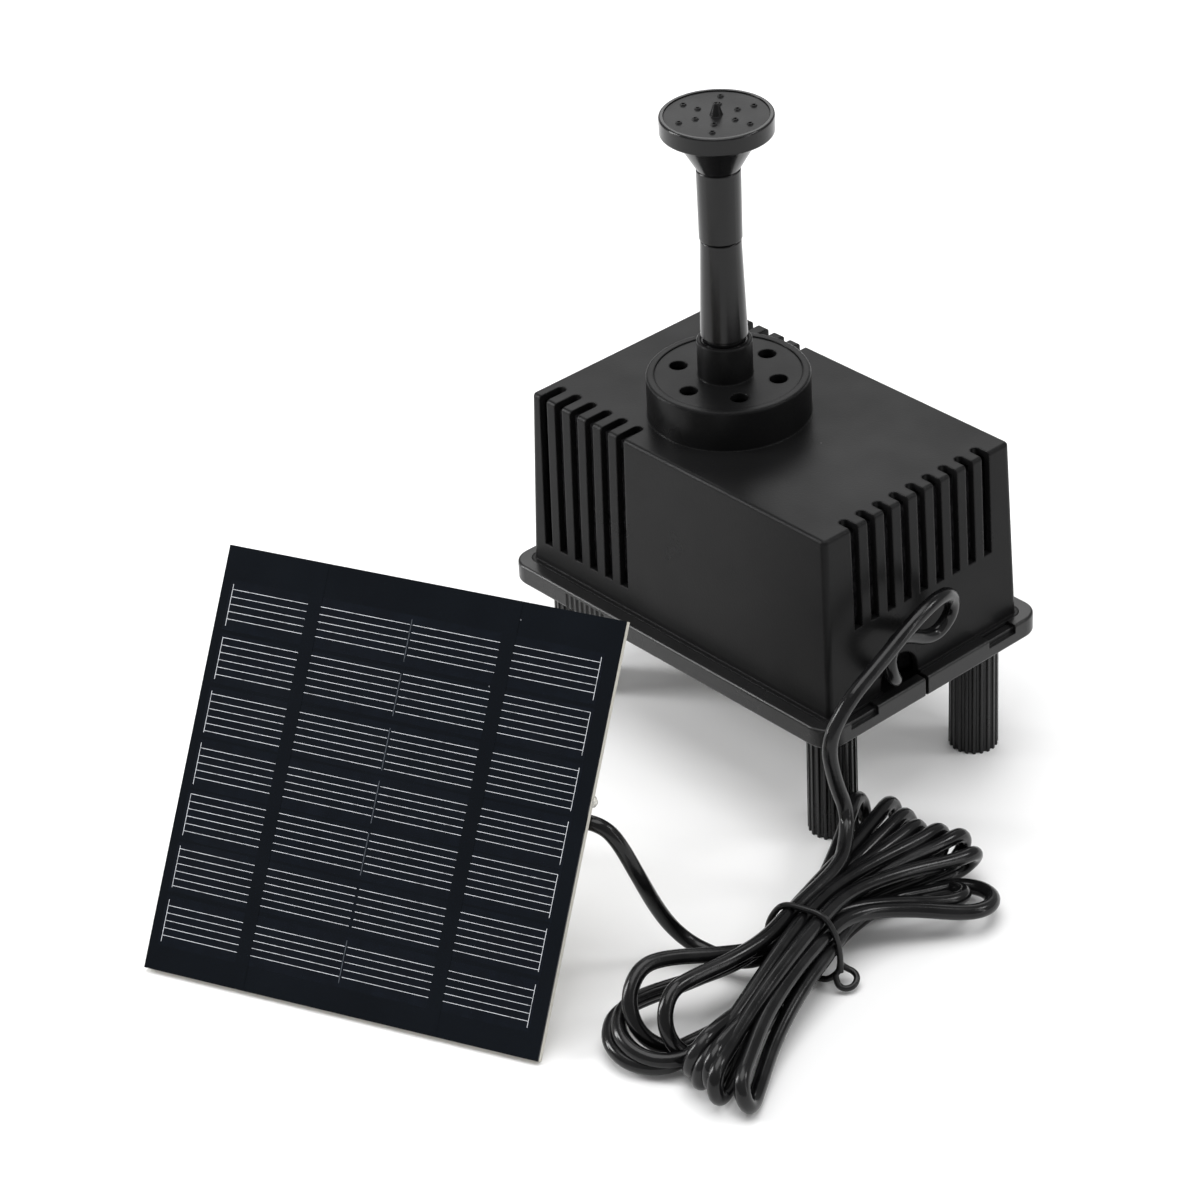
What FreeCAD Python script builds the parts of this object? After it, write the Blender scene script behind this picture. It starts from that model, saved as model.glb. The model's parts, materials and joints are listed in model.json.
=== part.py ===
import FreeCAD, Part

# Solar fountain kit, in millimetres: a filter-box pump on four fluted feet with a riser and a spray
# head, a square solar panel leaning on a fold-out prop, and the cable between them with its hank.
# Row frame: +Z up, origin on the floor in the middle of the kit's footprint without the cable,
# +Y from the panel towards the pump, +X towards the end of the box where the cable comes out.

import math
import os

from FreeCAD import Placement, Rotation, Vector

# ---------------------------------------------------------------- driving dimensions
PUMP_AT = Vector(-2.97, 79.78, 0)            # middle of the filter box on the floor
PANEL_AT = Vector(-37.97, -120.42, 0)        # lower left corner of the panel's back
PANEL_YAW, PANEL_TILT = 24.5, 53.0          # degrees; the tilt is from the floor

FEET = {(-1, -1): "foot_front_left", (1, -1): "foot_front_right",
        (-1, 1): "foot_back_left", (1, 1): "foot_back_right"}

# heights in the pump
TRAY_Z, RIM_Z, TOP_Z = 37.36, 43.46, 98.26  # tray underside, rim top, cover top
COLLAR_Z, BOSS_Z = 110.46, 121.1
RISER_JOINT_Z, RISER_TOP_Z = 151.8, 173.0
HEAD_Z, DISC_Z = 183.6, 188.8               # spray disc underside and rim

# filter box, half sizes unless named otherwise
RIM_X, RIM_Y, RIM_R = 64.6, 42.6, 6.5
POCKET_X, POCKET_Y, POCKET_R = 61.3, 38.5, 3.5
FLOOR_T = 2.0
WALL_X_LOW, WALL_Y_LOW = 60.06, 36.93       # cover wall at the rim's height
WALL_X_TOP, WALL_Y_TOP = 57.91, 35.57       # cover wall at its top
WALL_T, WALL_R = 2.0, 1.6
TOP_EDGE_R = 1.1
LIP_GAP = 0.1
LATCHES = ((-33.4, -22.9), (20.8, 31.5))    # ends of the latch recesses in the +X rim
RIM_SLIT_Y = (-4.6, -3.4)
GRIP_X, GRIP_PITCH, GRIPS, GRIP_R = -39.4, 2.12, 8, 0.75
PUMP_STOP = (2.0, 28.0, 1.5, 9.0)           # walls that locate the pump: ends, thickness, height

# slots in the cover: width, pitch, count, foot of the slot, end of the slot on the top
SIDE_SLOT_W, SIDE_SLOT_PITCH, SIDE_SLOTS = 3.1, 6.35, 6
SIDE_SLOT_X, SIDE_SLOT_Z, SIDE_SLOT_END = -53.0, 50.2, 27.3
END_SLOT_W, END_SLOT_PITCH, END_SLOTS = 3.0, 6.3, 9
END_SLOT_Y, END_SLOT_Z, END_SLOT_END = 0.7, 67.0, 52.8

ARCH_Y, ARCH_W, ARCH_TOP = -10.0, 14.4, 52.0  # cable notch in the +X wall
COLLAR_AT = Vector(-10.34, -4.19, 0)
PIPE_AT = Vector(-10.83, -4.76, 0)          # axis of the outlet, the riser and the spray head
COLLAR_R, COLLAR_BORE = 22.85, 20.6
PLATE_T, PLATE_SINK, PLATE_LEDGE_R = 2.2, 0.3, 18.8
PLATE_HOLES, PLATE_HOLE_R, PLATE_HOLE_PCR, PLATE_HOLE_TURN = 6, 2.55, 14.5, 28.0
BOSS_R, BOSS_FOOT_Z = 7.7, 96.5
SOCKET_R, SOCKET_Z = 6.4, 109.0             # the riser's spigot sits in this bore
NECK_R, NECK_H = 5.95, 1.3                  # of the riser, between the boss and its body

FOOT_X, FOOT_Y, FOOT_R_LOW, FOOT_R_TOP = 51.8, 28.3, 7.06, 6.87
FOOT_PEG_R, FOOT_PEG_H = 4.0, 1.5           # the foot's peg fills a hole in the tray's floor
FLUTES, FLUTE_HALF_ANGLE, FLUTE_DEPTH = 20, 5.6, 0.75

# riser and spray head: radii, then depths of the push fits
RISER_R_LOW, RISER_R_TOP, RISER_BORE = 6.6, 5.65, 4.2
UPPER_R_LOW, UPPER_R_TOP, UPPER_BORE = 5.95, 6.1, 3.6
SPIGOT_R, SPIGOT_L = 4.85, 8.0
STEM_R, STEM_L, STEM_BORE = 3.85, 9.3, 2.5
CONE_R_LOW, CONE_R_TOP = 6.0, 12.1
DISC_R, CHAMBER_R, CHAMBER_Z = 15.5, 12.9, 184.5
CAP_R, CAP_T, CAP_TOP_Z = 14.2, 1.4, 188.5
JETS, JET_RINGS, JET_R, JET_TURN = 6, (6.1, 10.9), 0.45, 10.5
SLIDE_GAP = 0.05                            # radial play of the push fits

# pump inside the box: shaft along X
SHAFT_Y, SHAFT_Z, SHAFT_R = 3.8, 62.0, 1.0
MOTOR_X0, MOTOR_X1 = -3.0, 33.0
MOTOR_HALF_Y, MOTOR_HALF_Z = 17.0, 19.0
WELL_R, WELL_WALL, WELL_END = 8.3, 0.8, 26.0
VOLUTE_R, VOLUTE_BORE, VOLUTE_X0 = 17.0, 14.0, -19.0
OUTLET_R, OUTLET_BORE, OUTLET_TOP = 6.0, 4.0, 92.0
ADAPTER_TOP, ADAPTER_R = 106.0, 7.4
CORE_X0, CORE_X1, CORE_R, CORE_BORE = 5.0, 17.0, 14.6, 12.4
MAGNET_X0, MAGNET_L, MAGNET_R, HUB_R = 2.0, 19.0, 7.8, 2.6
WHEEL_R, WHEEL_X0, WHEEL_T, BLADES = 12.6, -7.0, 1.6, 6
GLAND = Vector(34.0, -10.6, 47.4)           # foot of the cable gland, which points along +X
GLAND_L, GLAND_R_FOOT, GLAND_R_MOUTH = 11.0, 4.2, 3.0
FOAM_Y, FOAM_TOP = 31.5, 92.0

# solar panel
PANEL = 115.0
BOARD_T, CELL_T, FACE_T = 2.0, 0.25, 0.7
CELL_ROWS, CELL_PITCH, CELL_H = 7, 14.3, 13.2
CELL_X0, CELL_X1, CELL_TOP = 3.0, 110.8, 105.6
JUNCTION = (88.0, 105.0, 55.0, 71.0, -5.2)   # junction box: left, right, bottom, top, back
BEAD_AT, BEAD_R = (114.0, 68.2, 0.4), 2.6
HINGE_U, HINGE_V, HINGE_W = 57.5, 86.0, -6.5
BRACKET_HALF, EAR_AT, EAR_T, EAR_R = 20.0, 16.0, 3.0, 3.6
PIN_R, LEG_T, LEG_W, LEG_TIP_R = 1.5, 3.0, 26.0, 1.5
KNUCKLE_R, LEG_RIB, LEG_END = 3.2, 7.0, 12.0  # hollow between the leg's side ribs
LEG_LEAN = 20.0                              # degrees from upright, away from the panel

# cable
CABLE_R = 2.1
TIE_R = 0.7
TIE_Y = -74.5

PARTS = {}

X, Y, Z = Vector(1, 0, 0), Vector(0, 1, 0), Vector(0, 0, 1)


# ---------------------------------------------------------------- small helpers
def box(x0, x1, y0, y1, z0, z1):
    return Part.makeBox(x1 - x0, y1 - y0, z1 - z0, Vector(x0, y0, z0))


def rod(radius, start, axis, length):
    return Part.makeCylinder(radius, length, start, axis)


def cone(r0, r1, start, axis, length):
    return Part.makeCone(r0, r1, length, start, axis)


def at(x, y, z):
    return Vector(x, y, z)


def round_rect(hx, hy, r, z, cx=0.0, cy=0.0):
    """Wire of a rectangle with round corners, level at height z."""
    k = r * math.sqrt(0.5)
    edges = []
    corners = [(1, 1), (-1, 1), (-1, -1), (1, -1)]
    for i, (sx, sy) in enumerate(corners):
        ox, oy = cx + sx * (hx - r), cy + sy * (hy - r)
        side_x, side_y = at(ox + sx * r, oy, z), at(ox, oy + sy * r, z)
        first, last = (side_x, side_y) if i % 2 == 0 else (side_y, side_x)
        edges.append(Part.Arc(first, at(ox + sx * k, oy + sy * k, z), last).toShape())
        nx, ny = corners[(i + 1) % 4]
        px, py = cx + nx * (hx - r), cy + ny * (hy - r)
        following = at(px, py + ny * r, z) if i % 2 == 0 else at(px + nx * r, py, z)
        edges.append(Part.LineSegment(last, following).toShape())
    return Part.Wire(edges)


def prism(hx, hy, r, z0, z1, cx=0.0, cy=0.0):
    return Part.Face(round_rect(hx, hy, r, z0, cx, cy)).extrude(at(0, 0, z1 - z0))


def drafted(inset, z0, z1, r):
    """Block that follows the cover's sloping walls, set in by inset."""
    def half(z):
        t = (z - RIM_Z) / (TOP_Z - RIM_Z)
        return (WALL_X_LOW + t * (WALL_X_TOP - WALL_X_LOW) - inset,
                WALL_Y_LOW + t * (WALL_Y_TOP - WALL_Y_LOW) - inset)
    (ax, ay), (bx, by) = half(z0), half(z1)
    return Part.makeLoft([round_rect(ax, ay, r, z0), round_rect(bx, by, r, z1)], True, True)


def ring_of(count, radius, centre, start=0.0):
    """Points evenly spaced round a level circle."""
    for i in range(count):
        a = math.radians(start + 360.0 * i / count)
        yield centre + at(radius * math.cos(a), radius * math.sin(a), 0)


def keep(name, shape):
    """Store a solid of the pump, whose frame is the middle of the box on the floor."""
    shape = shape.removeSplitter()
    if len(shape.Solids) != 1 or not shape.isValid():
        raise ValueError("%s: %d solids, valid %s" % (name, len(shape.Solids), shape.isValid()))
    PARTS[name] = shape.Solids[0].translated(PUMP_AT)


# ---------------------------------------------------------------- filter box
def base_tray():
    tray = prism(RIM_X, RIM_Y, RIM_R, TRAY_Z, RIM_Z)
    tray = tray.makeFillet(0.8, [e for e in tray.Edges if e.BoundBox.ZLength < 1e-6])
    floor = TRAY_Z + FLOOR_T
    tray = tray.cut(prism(POCKET_X, POCKET_Y, POCKET_R, floor, RIM_Z + 1))
    # latch recesses with their stepped ledges, and the slit in the rim below the cable notch
    for y0, y1 in LATCHES:
        tray = tray.cut(box(POCKET_X - 0.1, RIM_X + 1, y0, y1, RIM_Z - 1.0, RIM_Z + 1))
        tray = tray.cut(box(RIM_X - 1.2, RIM_X + 1, y0, y1, RIM_Z - 2.6, RIM_Z + 1))
    tray = tray.cut(box(POCKET_X - 0.1, RIM_X + 1, *RIM_SLIT_Y, floor, RIM_Z + 1))
    tray = tray.cut(box(RIM_X - 1.0, RIM_X + 1, *RIM_SLIT_Y, TRAY_Z - 1, RIM_Z + 1))
    # finger grips: rows of upright grooves in both long sides
    grooves = []
    for side in (-1, 1):
        for i in range(GRIPS):
            foot = at(GRIP_X + GRIP_PITCH * i, side * (RIM_Y + 0.25), TRAY_Z - 1)
            grooves.append(rod(GRIP_R, foot, Z, RIM_Z - TRAY_Z))
    tray = tray.cut(Part.makeCompound(grooves))
    # holes for the feet, and low walls that locate the pump
    for sx, sy in FEET:
        tray = tray.cut(rod(FOOT_PEG_R, at(sx * FOOT_X, sy * FOOT_Y, TRAY_Z - 1), Z, FLOOR_T + 2))
    x0, x1, thickness, height = PUMP_STOP
    for y0 in (SHAFT_Y - MOTOR_HALF_Y - thickness - 0.2, SHAFT_Y + MOTOR_HALF_Y + 0.2):
        tray = tray.fuse(box(x0, x1, y0, y0 + thickness, floor - 0.5, TRAY_Z + height))
    keep("base_tray", tray)


def fluted_wire(centre, radius):
    """Level outline of a fluted foot: round lands with a hollow arc between each two."""
    def point(angle, r):
        return centre + at(r * math.cos(math.radians(angle)), r * math.sin(math.radians(angle)), 0)
    edges, pitch = [], 360.0 / FLUTES
    for i in range(FLUTES):
        a, h = pitch * i, FLUTE_HALF_ANGLE
        flute = (point(a - h, radius), point(a, radius - FLUTE_DEPTH), point(a + h, radius))
        land = (point(a + h, radius), point(a + pitch / 2, radius), point(a + pitch - h, radius))
        edges += [Part.Arc(*flute).toShape(), Part.Arc(*land).toShape()]
    return Part.Wire(edges)


def feet():
    for (sx, sy), name in FEET.items():
        centre = at(sx * FOOT_X, sy * FOOT_Y, 0)
        ends = [fluted_wire(centre, FOOT_R_LOW), fluted_wire(centre + Z * TRAY_Z, FOOT_R_TOP)]
        peg = rod(FOOT_PEG_R - SLIDE_GAP, centre + Z * (TRAY_Z - 1), Z, 1 + FOOT_PEG_H)
        keep(name, Part.makeLoft(ends, True, True).fuse(peg))


def housing_cover():
    shell = drafted(0, RIM_Z - 4.0, TOP_Z, WALL_R)
    top_edges = [e for e in shell.Edges if e.BoundBox.ZMin > TOP_Z - 1e-4]
    shell = shell.makeFillet(TOP_EDGE_R, top_edges)
    lip = prism(POCKET_X - LIP_GAP, POCKET_Y - LIP_GAP, POCKET_R, TRAY_Z + FLOOR_T + LIP_GAP, RIM_Z)
    shell = shell.fuse(lip)
    collar = rod(COLLAR_R, COLLAR_AT + Z * (TOP_Z - 1), Z, COLLAR_Z - TOP_Z + 1)
    rim = [e for e in collar.Edges if e.BoundBox.ZMin > COLLAR_Z - 1e-4 and e.Closed]
    shell = shell.fuse(collar.makeFillet(0.7, rim))
    shell = shell.cut(drafted(WALL_T, RIM_Z - 6.0, TOP_Z - WALL_T, WALL_R - 1.0))
    shell = shell.cut(rod(PLATE_LEDGE_R, COLLAR_AT + Z * (TOP_Z - WALL_T - 1), Z, 20))
    plate_z = COLLAR_Z - PLATE_SINK - PLATE_T
    shell = shell.cut(rod(COLLAR_BORE, COLLAR_AT + Z * plate_z, Z, 20))

    slots, under = [], TOP_Z - WALL_T - 0.4
    for side in (-1, 1):
        for i in range(SIDE_SLOTS):
            x, w = SIDE_SLOT_X + SIDE_SLOT_PITCH * i, SIDE_SLOT_W / 2
            y_in, y_out = side * (SIDE_SLOT_END + w), side * 45.0
            wall_y = side * (WALL_Y_TOP - WALL_T - 0.6)
            slots.append(box(x - w, x + w, *sorted((wall_y, y_out)), SIDE_SLOT_Z, TOP_Z + 2))
            slots.append(box(x - w, x + w, *sorted((y_in, y_out)), under, TOP_Z + 2))
            slots.append(rod(w, at(x, y_in, under), Z, 5))
    for i in range(END_SLOTS):
        y = END_SLOT_Y + END_SLOT_PITCH * (i - (END_SLOTS - 1) / 2)
        w = END_SLOT_W / 2
        slots.append(box(WALL_X_TOP - WALL_T - 0.6, 70, y - w, y + w, END_SLOT_Z, TOP_Z + 2))
        slots.append(box(END_SLOT_END + w, 70, y - w, y + w, under, TOP_Z + 2))
        slots.append(rod(w, at(END_SLOT_END + w, y, under), Z, 5))
    shell = shell.cut(slots[0].multiFuse(slots[1:]))

    # cable notch, open at the bottom so that the cover lifts off over the cable
    half = ARCH_W / 2
    shell = shell.cut(box(54, 66, ARCH_Y - half, ARCH_Y + half, RIM_Z - 6, ARCH_TOP - half))
    shell = shell.cut(rod(half, at(54, ARCH_Y, ARCH_TOP - half), X, 12))
    keep("housing_cover", shell)


def flow_plate():
    plate_z = COLLAR_Z - PLATE_SINK - PLATE_T
    plate = rod(COLLAR_BORE - SLIDE_GAP, COLLAR_AT + Z * plate_z, Z, PLATE_T)
    plate = plate.fuse(rod(BOSS_R, PIPE_AT + Z * BOSS_FOOT_Z, Z, BOSS_Z - BOSS_FOOT_Z))
    for p in ring_of(PLATE_HOLES, PLATE_HOLE_PCR, COLLAR_AT + Z * (plate_z - 1), PLATE_HOLE_TURN):
        plate = plate.cut(rod(PLATE_HOLE_R, p, Z, PLATE_T + 2))
    plate = plate.cut(rod(SOCKET_R, PIPE_AT + Z * SOCKET_Z, Z, 20))
    below = PIPE_AT + Z * (BOSS_FOOT_Z - 1)
    plate = plate.cut(rod(OUTLET_BORE, below, Z, 20))
    plate = plate.cut(rod(OUTLET_R + SLIDE_GAP, below, Z, ADAPTER_TOP - BOSS_FOOT_Z + 2))
    mouth = [e for e in plate.Edges if e.BoundBox.ZMin > BOSS_Z - 1e-4 and e.Closed]
    keep("flow_plate", plate.makeChamfer(0.3, mouth))


def foam():
    """Filter foam round the pump: four blocks on the tray, the right one notched for the cable."""
    z0, z1 = TRAY_Z + FLOOR_T + 0.2, FOAM_TOP
    keep("foam_left", box(-54.5, -25.0, -FOAM_Y, FOAM_Y, z0, z1))
    right = box(46.5, 54.5, -FOAM_Y, FOAM_Y, z0, z1)
    keep("foam_right", right.cut(box(40, 60, -17.5, -4.0, z0 - 1, 56)))
    keep("foam_front", box(-24.8, 34.0, -FOAM_Y, -15.5, z0, z1))
    keep("foam_back", box(-24.8, 34.0, 23.0, FOAM_Y, z0, z1))


# ---------------------------------------------------------------- riser and spray head
def riser():
    seat, peg = BOSS_Z + NECK_H, SOCKET_Z + 0.1
    low = cone(RISER_R_LOW, RISER_R_TOP, PIPE_AT + Z * seat, Z, RISER_JOINT_Z - seat)
    low = low.makeFillet(0.4, [e for e in low.Edges if e.Closed])
    low = low.fuse(rod(SOCKET_R - SLIDE_GAP, PIPE_AT + Z * peg, Z, BOSS_Z - 0.4 - peg))
    low = low.fuse(rod(NECK_R, PIPE_AT + Z * (BOSS_Z - 1), Z, NECK_H + 1.5))
    low = low.cut(rod(RISER_BORE, PIPE_AT + Z * 100, Z, 60))
    low = low.cut(rod(SPIGOT_R + SLIDE_GAP, PIPE_AT + Z * (RISER_JOINT_Z - SPIGOT_L - 1), Z, 10))
    keep("riser_lower", low)

    foot = RISER_JOINT_Z + 0.2
    up = cone(UPPER_R_LOW, UPPER_R_TOP, PIPE_AT + Z * foot, Z, RISER_TOP_Z - foot)
    up = up.makeFillet(0.45, [e for e in up.Edges if e.Closed])
    up = up.fuse(rod(SPIGOT_R, PIPE_AT + Z * (RISER_JOINT_Z - SPIGOT_L), Z, SPIGOT_L + 1))
    up = up.cut(rod(UPPER_BORE, PIPE_AT + Z * 140, Z, 40))
    up = up.cut(rod(STEM_R + SLIDE_GAP, PIPE_AT + Z * (RISER_TOP_Z - STEM_L - 0.2), Z, 20))
    keep("riser_upper", up)


def spray_head():
    shoulder = RISER_TOP_Z + 0.1
    body = rod(STEM_R, PIPE_AT + Z * (RISER_TOP_Z - STEM_L), Z, STEM_L + 1)
    body = body.fuse(cone(CONE_R_LOW, CONE_R_TOP, PIPE_AT + Z * shoulder, Z, HEAD_Z - shoulder + 0.1))
    disc = rod(DISC_R, PIPE_AT + Z * HEAD_Z, Z, DISC_Z - HEAD_Z)
    body = body.fuse(disc.makeFillet(0.6, [e for e in disc.Edges if e.Closed]))
    body = body.cut(rod(STEM_BORE, PIPE_AT + Z * 160, Z, 40))
    body = body.cut(rod(CHAMBER_R, PIPE_AT + Z * CHAMBER_Z, Z, 10))
    body = body.cut(rod(CAP_R + SLIDE_GAP, PIPE_AT + Z * (CAP_TOP_Z - CAP_T), Z, 10))
    keep("spray_body", body)

    cap, under = rod(CAP_R, PIPE_AT + Z * (CAP_TOP_Z - CAP_T), Z, CAP_T), CAP_TOP_Z - 0.1
    nozzles = [p for ring in JET_RINGS for p in ring_of(JETS, ring, PIPE_AT, JET_TURN)]
    for p in nozzles:
        cap = cap.fuse(cone(0.95, 0.7, p + Z * under, Z, 0.55))
    cap = cap.fuse(cone(1.8, 0.75, PIPE_AT + Z * under, Z, 3.5))
    holes = [rod(JET_R, p + Z * (under - 5), Z, 10) for p in nozzles + [PIPE_AT]]
    keep("spray_cap", cap.cut(Part.makeCompound(holes)))


# ---------------------------------------------------------------- pump
def axis_at(x):
    return at(x, SHAFT_Y, SHAFT_Z)


def motor():
    y0, y1 = SHAFT_Y - MOTOR_HALF_Y, SHAFT_Y + MOTOR_HALF_Y
    z0, z1 = SHAFT_Z - MOTOR_HALF_Z, SHAFT_Z + MOTOR_HALF_Z
    shell = box(MOTOR_X0, MOTOR_X1 - 2, y0, y1, z0, z1)
    shell = shell.makeFillet(3.0, [e for e in shell.Edges if abs(e.tangentAt(0).x) > 0.99])
    shell = shell.cut(box(MOTOR_X0 + 2, MOTOR_X1, y0 + 2, y1 - 2, z0 + 2, z1 - 2))
    shell = shell.fuse(rod(WELL_R + WELL_WALL, axis_at(MOTOR_X0 + 1), X, WELL_END - MOTOR_X0 - 1))
    shell = shell.cut(rod(WELL_R, axis_at(MOTOR_X0 - 1), X, WELL_END - MOTOR_X0))
    groove = rod(16.3, axis_at(MOTOR_X0 - 1), X, 1.8).cut(rod(14.6, axis_at(MOTOR_X0 - 1), X, 1.8))
    keep("motor_housing", shell.cut(groove))

    cap = box(MOTOR_X1 - 1.9, MOTOR_X1 + 1.0, y0, y1, z0, z1)
    cap = cap.makeFillet(3.0, [e for e in cap.Edges if abs(e.tangentAt(0).x) > 0.99])
    keep("motor_end_cap", cap.cut(rod(CABLE_R + 0.3, at(MOTOR_X1 - 5, GLAND.y, GLAND.z), X, 10)))

    core = rod(CORE_R, axis_at(CORE_X0), X, CORE_X1 - CORE_X0)
    core = core.cut(rod(CORE_BORE, axis_at(CORE_X0 - 1), X, CORE_X1 - CORE_X0 + 2))
    coils = []
    for i in range(4):
        pole = box(CORE_X0, CORE_X1, SHAFT_Y - 2.0, SHAFT_Y + 2.0, SHAFT_Z + 9.3, SHAFT_Z + 13.5)
        coil = box(CORE_X0 - 1.4, CORE_X1 + 1.4, SHAFT_Y - 3.6, SHAFT_Y + 3.6,
                   SHAFT_Z + 9.6, SHAFT_Z + 11.7)
        coil = coil.cut(box(CORE_X0, CORE_X1, SHAFT_Y - 2.05, SHAFT_Y + 2.05,
                            SHAFT_Z + 9, SHAFT_Z + 12))
        for shape in (pole, coil):
            shape.rotate(axis_at(0), X, 90 * i)
        core = core.fuse(pole)
        coils.append(coil)
    keep("stator_core", core)
    for i, coil in enumerate(coils):
        keep("stator_coil_%d" % (i + 1), coil)
    keep("driver_board", box(27.2, 28.8, y0 + 3, y1 - 3, z0 + 3, z1 - 3))


def gland():
    shape = cone(GLAND_R_FOOT, GLAND_R_MOUTH, GLAND, X, GLAND_L)
    keep("cable_gland", shape.cut(rod(CABLE_R, GLAND - X, X, GLAND_L + 2)))


def rotor():
    magnet = rod(MAGNET_R, axis_at(MAGNET_X0), X, MAGNET_L)
    keep("rotor_magnet", magnet.cut(rod(HUB_R, axis_at(MAGNET_X0 - 1), X, MAGNET_L + 2)))
    wheel = rod(WHEEL_R, axis_at(WHEEL_X0), X, WHEEL_T)
    wheel = wheel.fuse(rod(HUB_R, axis_at(WHEEL_X0 - 6), X, MAGNET_X0 + MAGNET_L - WHEEL_X0 + 6))
    for i in range(BLADES):
        blade = box(WHEEL_X0 - 5.5, WHEEL_X0 + 0.5, SHAFT_Y - 0.6, SHAFT_Y + 0.6, SHAFT_Z + 2.0,
                    SHAFT_Z + WHEEL_R - 0.2)
        blade.rotate(axis_at(0), X, 360.0 / BLADES * i)
        wheel = wheel.fuse(blade)
    keep("impeller", wheel.cut(rod(SHAFT_R + SLIDE_GAP, axis_at(-20), X, 50)))
    keep("shaft", rod(SHAFT_R, axis_at(-15.5), X, 40.0))
    keep("bush_front", rod(2.4, axis_at(-16.0), X, 2.6).cut(rod(SHAFT_R, axis_at(-15.5), X, 5)))
    keep("bush_rear", rod(2.4, axis_at(21.6), X, 3.4).cut(rod(SHAFT_R, axis_at(20), X, 4.5)))


def volute():
    cup = rod(VOLUTE_R, axis_at(VOLUTE_X0), X, MOTOR_X0 - VOLUTE_X0)
    cup = cup.fuse(rod(OUTLET_R, PIPE_AT + Z * SHAFT_Z, Z, OUTLET_TOP - SHAFT_Z))
    cup = cup.cut(rod(VOLUTE_BORE, axis_at(VOLUTE_X0 + 2), X, 30))
    cup = cup.cut(rod(OUTLET_BORE, PIPE_AT + Z * SHAFT_Z, Z, 50))
    # intake eye with a bush seat held on three spokes
    eye = rod(6.2, axis_at(VOLUTE_X0 - 1), X, 4)
    for i in range(3):
        spoke = box(VOLUTE_X0, VOLUTE_X0 + 2, SHAFT_Y - 0.8, SHAFT_Y + 0.8, SHAFT_Z, SHAFT_Z + 7)
        spoke.rotate(axis_at(0), X, 120 * i)
        eye = eye.cut(spoke)
    cup = cup.cut(eye.cut(rod(3.4, axis_at(VOLUTE_X0 - 2), X, 8)))
    cup = cup.fuse(rod(3.4, axis_at(VOLUTE_X0), X, 5.4))
    keep("volute_cover", cup.cut(rod(2.4, axis_at(VOLUTE_X0 + 3), X, 5)))
    ring = Part.makeTorus(15.4, 0.72, axis_at(MOTOR_X0 + 0.05), X)
    keep("volute_seal", ring.common(box(MOTOR_X0, 10, -40, 60, 0, 120)))

    strainer = rod(VOLUTE_R - 1, axis_at(VOLUTE_X0 - 4.5), X, 4.5)
    strainer = strainer.cut(rod(VOLUTE_R - 2.5, axis_at(VOLUTE_X0 - 3), X, 4))
    for offset in (-10, -5, 0, 5, 10):
        y, reach = SHAFT_Y + offset, math.sqrt(12.0 ** 2 - offset ** 2)
        strainer = strainer.cut(box(VOLUTE_X0 - 6, VOLUTE_X0 - 2, y - 1, y + 1,
                                    SHAFT_Z - reach, SHAFT_Z + reach))
    keep("intake_strainer", strainer)

    tube = rod(OUTLET_R, PIPE_AT + Z * OUTLET_TOP, Z, ADAPTER_TOP - OUTLET_TOP)
    tube = tube.fuse(rod(ADAPTER_R, PIPE_AT + Z * (OUTLET_TOP - 8), Z, 10.5))
    tube = tube.cut(rod(OUTLET_R + 0.01, PIPE_AT + Z * (OUTLET_TOP - 9), Z, 9))
    keep("outlet_adapter", tube.cut(rod(OUTLET_BORE, PIPE_AT + Z * 80, Z, 40)))


def suction_cups():
    floor, top = TRAY_Z + FLOOR_T, SHAFT_Z - MOTOR_HALF_Z
    places = [(x, SHAFT_Y + dy) for x in (5.0, 25.0) for dy in (-11, 11)]
    for i, (x, y) in enumerate(places):
        cup = cone(4.6, 2.6, at(x, y, floor), Z, 2.2)
        cup = cup.fuse(rod(2.6, at(x, y, floor + 2), Z, top - floor - 2))
        keep("suction_cup_%d" % (i + 1), cup)


# ---------------------------------------------------------------- solar panel
def panel_placement():
    turn = Rotation(Z, PANEL_YAW).multiply(Rotation(X, PANEL_TILT))
    return Placement(PANEL_AT, turn)


def keep_on_panel(name, shape):
    """Store a solid drawn on the panel: x to the right, y up its face, z out of its face."""
    shape = shape.removeSplitter()
    if len(shape.Solids) != 1 or not shape.isValid():
        raise ValueError("%s: %d solids, valid %s" % (name, len(shape.Solids), shape.isValid()))
    PARTS[name] = shape.Solids[0].transformed(panel_placement().toMatrix())


def solar_panel():
    keep_on_panel("panel_board", box(0, PANEL, 0, PANEL, 0, BOARD_T))
    face = box(0, PANEL, 0, PANEL, BOARD_T, BOARD_T + FACE_T)
    for i in range(CELL_ROWS):
        top = CELL_TOP - CELL_PITCH * i
        cell = box(CELL_X0, CELL_X1, top - CELL_H, top, BOARD_T, BOARD_T + CELL_T)
        keep_on_panel("cell_row_%d" % (i + 1), cell)
        face = face.cut(cell)
    keep_on_panel("panel_face", face)

    lid = box(*JUNCTION, 0)
    back = JUNCTION[-1] + 0.1
    round_edges = [e for e in lid.Edges if e.BoundBox.ZMin < back or abs(e.tangentAt(0).z) > 0.99]
    keep_on_panel("junction_box", lid.makeFillet(1.2, round_edges))
    centre = at(*BEAD_AT)
    bead = Part.makeSphere(BEAD_R, centre, Z, -90, 90, 360)
    bead = bead.fuse(Part.makeSphere(BEAD_R - 0.4, centre + at(-2.0, -0.6, -1.0)))
    keep_on_panel("glue_bead", bead.common(box(100, 118, 60, 80, -6, 0)))


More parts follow.
